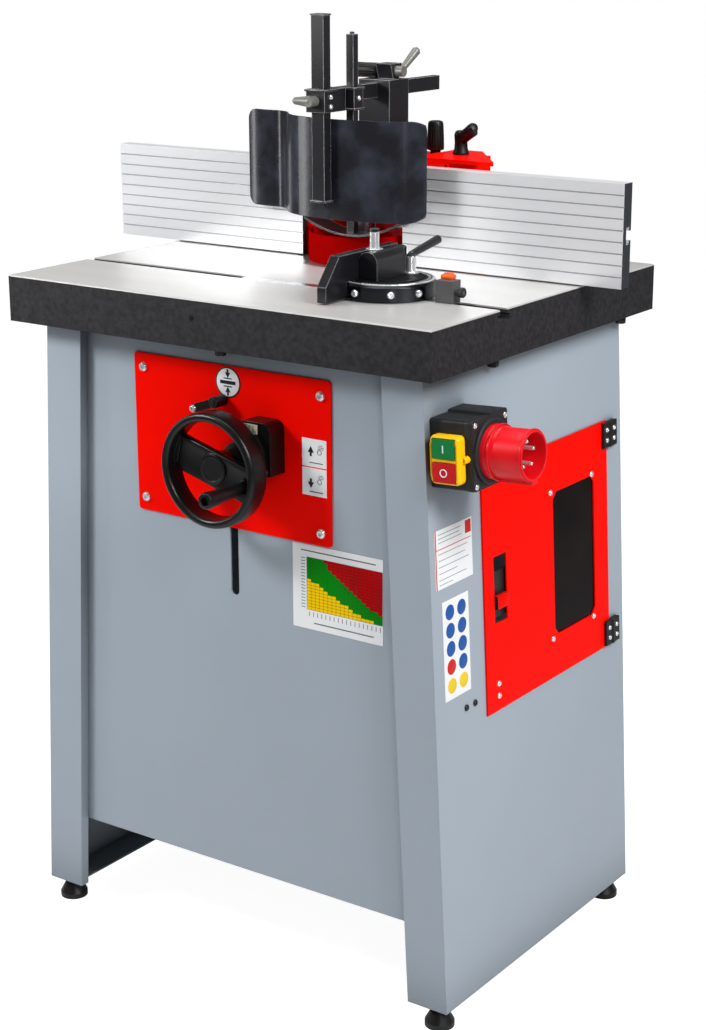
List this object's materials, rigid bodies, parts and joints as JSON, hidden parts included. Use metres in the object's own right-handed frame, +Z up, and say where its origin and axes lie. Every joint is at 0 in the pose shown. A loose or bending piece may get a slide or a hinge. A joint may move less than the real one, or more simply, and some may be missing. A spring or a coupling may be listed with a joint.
{
  "type": "spindle moulder",
  "caption": "Floor-standing spindle moulder with a cast table on a splayed sheet cabinet, split fence, cutter guard, mitre gauge, lift handwheel and belt door.",
  "frame": {"origin": "bottom centre of the whole machine's bounding box, on the floor", "axes": "+Z up, -Y towards the operator, +X to the operator's right where the switch and the belt door are"},
  "size_m": [0.8386, 0.624, 1.225],
  "materials": {
    "cast_table": "ground",
    "ring_steel": "ground",
    "cabinet_paint": "satin",
    "red_paint": "satin",
    "red_plastic": "satin",
    "black_plastic": "satin",
    "red_latch": "satin",
    "foot_rubber": "matt",
    "bright_steel": "turned",
    "bush_bronze": "turned",
    "grey_casting": "painted",
    "motor_paint": "satin",
    "pulley_alloy": "turned",
    "belt_rubber": "matt",
    "smoked_pane": "smoked",
    "box_plastic": "satin",
    "yellow_plastic": "satin",
    "green_plastic": "satin",
    "anodised": "anodised",
    "black_paint": "semi-gloss",
    "grey_plastic": "satin"
  },
  "bodies": {
    "machine": {"table_top": "cast_table", "table_rings": "ring_steel", "left_side_panel": "cabinet_paint", "right_side_panel": "cabinet_paint", "front_panel": "cabinet_paint", "rear_panel": "cabinet_paint", "levelling_feet": "foot_rubber", "foot_studs": "bright_steel", "handwheel_plate": "red_paint", "shaft_bush": "bush_bronze", "height_readout": "black_plastic", "lift_bracket": "grey_casting", "guide_column": "grey_casting", "hinge_frame_leaves": "black_plastic", "switch_box": "box_plastic", "switch_cover": "yellow_plastic", "inlet_shroud": "red_plastic", "inlet_pins": "bright_steel", "dust_hood": "red_paint", "cutter_cover": "red_paint", "guard_column": "black_paint"},
    "wheel": {"handwheel": "black_plastic", "drive_shaft": "bright_steel"},
    "crank": {"crank_handle": "black_plastic"},
    "screw": {"lift_screw": "bright_steel"},
    "carriage": {"spindle_carriage": "grey_casting", "spindle_bearings": "bright_steel", "motor_body": "motor_paint", "drive_belt": "belt_rubber"},
    "spindle": {"spindle_shaft": "bright_steel", "spindle_pulley": "pulley_alloy", "spacer_rings": "bright_steel", "arbor_nut": "bright_steel"},
    "rotor": {"motor_pulley": "pulley_alloy"},
    "height_lock": {"height_lock_lever": "black_plastic"},
    "door": {"door_panel": "red_paint", "door_window": "smoked_pane", "hinge_door_leaves": "black_plastic"},
    "latch": {"door_latch": "red_latch"},
    "start": {"start_button": "green_plastic"},
    "stop": {"stop_button": "red_plastic"},
    "left_fence_bar": {"left_fence": "anodised"},
    "right_bracket": {"right_fence_bracket": "red_paint"},
    "right_fence_bar": {"right_fence": "anodised"},
    "fence_lever": {"fence_clamp_lever": "black_plastic"},
    "hood_clamp": {"hood_knob": "black_plastic"},
    "arm": {"guard_arm": "black_paint"},
    "arm_lever": {"arm_clamp_lever": "grey_plastic"},
    "arm_knob": {"arm_clamp_knob": "black_plastic"},
    "guard": {"guard_post": "black_paint", "guard_shield": "black_paint"},
    "post_knob": {"post_clamp_knob": "grey_plastic"},
    "hold_down": {"hold_down_bar": "black_paint", "hold_down_shoe": "black_paint"},
    "gauge": {"mitre_bar": "bright_steel", "stop_block": "grey_plastic"},
    "gauge_head": {"mitre_base": "black_paint", "mitre_head": "black_paint", "mitre_fence": "black_paint"},
    "gauge_lever": {"mitre_lever": "black_plastic"}
  },
  "joints": [
    {"name": "handwheel_turn", "type": "hinge", "parent": "machine", "child": "wheel", "pos_m": [0.01672, -0.248, 0.693], "axis": [0, 1, 0], "range_deg": [-1800, 1800]},
    {"name": "crank_spin", "type": "hinge", "parent": "wheel", "child": "crank", "pos_m": [0.06622, -0.248, 0.6788], "axis": [0, 1, 0], "continuous": true},
    {"name": "screw_turn", "type": "hinge", "parent": "machine", "child": "screw", "pos_m": [0.01672, 0.052, 0.693], "axis": [0, 0, 1], "range_deg": [-1800, 1800]},
    {"name": "spindle_lift", "type": "slide", "parent": "machine", "child": "carriage", "axis": [0, 0, 1], "range_m": [-0.04, 0.04]},
    {"name": "spindle_spin", "type": "hinge", "parent": "carriage", "child": "spindle", "pos_m": [-0.01528, 0.138, 0.8], "axis": [0, 0, 1], "continuous": true},
    {"name": "motor_spin", "type": "hinge", "parent": "carriage", "child": "rotor", "pos_m": [0.14472, 0.138, 0.602], "axis": [0, 0, 1], "continuous": true},
    {"name": "height_lock_turn", "type": "hinge", "parent": "machine", "child": "height_lock", "pos_m": [-0.00528, -0.183, 0.768], "axis": [0, 1, 0], "range_deg": [-45, 45]},
    {"name": "door_swing", "type": "hinge", "parent": "machine", "child": "door", "pos_m": [0.31655, 0.24, 0.54363], "axis": [-0.0523, 0, 0.9986], "range_deg": [0, 110]},
    {"name": "latch_slide", "type": "slide", "parent": "door", "child": "latch", "axis": [-0.0523, 0, 0.9986], "range_m": [0, 0.026]},
    {"name": "start_press", "type": "slide", "parent": "machine", "child": "start", "axis": [0, 1, 0], "range_m": [0, 0.003], "stiffness_N_per_m": 600},
    {"name": "stop_press", "type": "slide", "parent": "machine", "child": "stop", "axis": [0, 1, 0], "range_m": [0, 0.003], "stiffness_N_per_m": 600},
    {"name": "left_fence_slide", "type": "slide", "parent": "machine", "child": "left_fence_bar", "axis": [-1, 0, 0], "range_m": [0, 0.06]},
    {"name": "right_bracket_slide", "type": "slide", "parent": "machine", "child": "right_bracket", "axis": [0, -1, 0], "range_m": [0, 0.012]},
    {"name": "right_fence_slide", "type": "slide", "parent": "right_bracket", "child": "right_fence_bar", "axis": [1, 0, 0], "range_m": [0, 0.06]},
    {"name": "fence_lever_turn", "type": "hinge", "parent": "right_bracket", "child": "fence_lever", "pos_m": [0.10572, 0.186, 1.036], "axis": [0, 0, 1], "range_deg": [-60, 60]},
    {"name": "hood_knob_turn", "type": "hinge", "parent": "machine", "child": "hood_clamp", "pos_m": [0.05172, 0.208, 1.036], "axis": [0, 0, 1], "range_deg": [-180, 720]},
    {"name": "arm_slide", "type": "slide", "parent": "machine", "child": "arm", "axis": [0, 1, 0], "range_m": [-0.03, 0.008]},
    {"name": "arm_lever_turn", "type": "hinge", "parent": "machine", "child": "arm_lever", "pos_m": [0.00472, 0.1655, 1.146], "axis": [1, 0, 0], "range_deg": [-20, 80]},
    {"name": "arm_knob_turn", "type": "hinge", "parent": "machine", "child": "arm_knob", "pos_m": [0.00472, 0.1655, 1.146], "axis": [-1, 0, 0], "range_deg": [-180, 360]},
    {"name": "guard_lift", "type": "slide", "parent": "arm", "child": "guard", "axis": [0, 0, 1], "range_m": [-0.035, 0.008]},
    {"name": "post_knob_turn", "type": "hinge", "parent": "arm", "child": "post_knob", "pos_m": [-0.00328, 0.012, 1.1175], "axis": [0, -1, 0], "range_deg": [-180, 360]},
    {"name": "hold_down_lift", "type": "slide", "parent": "arm", "child": "hold_down", "axis": [0, 0, 1], "range_m": [0, 0.06]},
    {"name": "gauge_slide", "type": "slide", "parent": "machine", "child": "gauge", "axis": [1, 0, 0], "range_m": [-0.25, 0.055]},
    {"name": "gauge_swivel", "type": "hinge", "parent": "gauge", "child": "gauge_head", "pos_m": [0.16472, -0.072, 0.9], "axis": [0, 0, 1], "range_deg": [-45, 45]},
    {"name": "gauge_lever_turn", "type": "hinge", "parent": "gauge_head", "child": "gauge_lever", "pos_m": [0.17472, -0.035, 0.921], "axis": [0, 0, 1], "range_deg": [-60, 30]}
  ],
  "couplings": [
    {"joint": "handwheel_turn", "follows": "spindle_lift", "rad_per_m": 785.4},
    {"joint": "screw_turn", "follows": "spindle_lift", "rad_per_m": -785.4},
    {"joint": "motor_spin", "follows": "spindle_spin", "ratio": 0.53846}
  ]
}
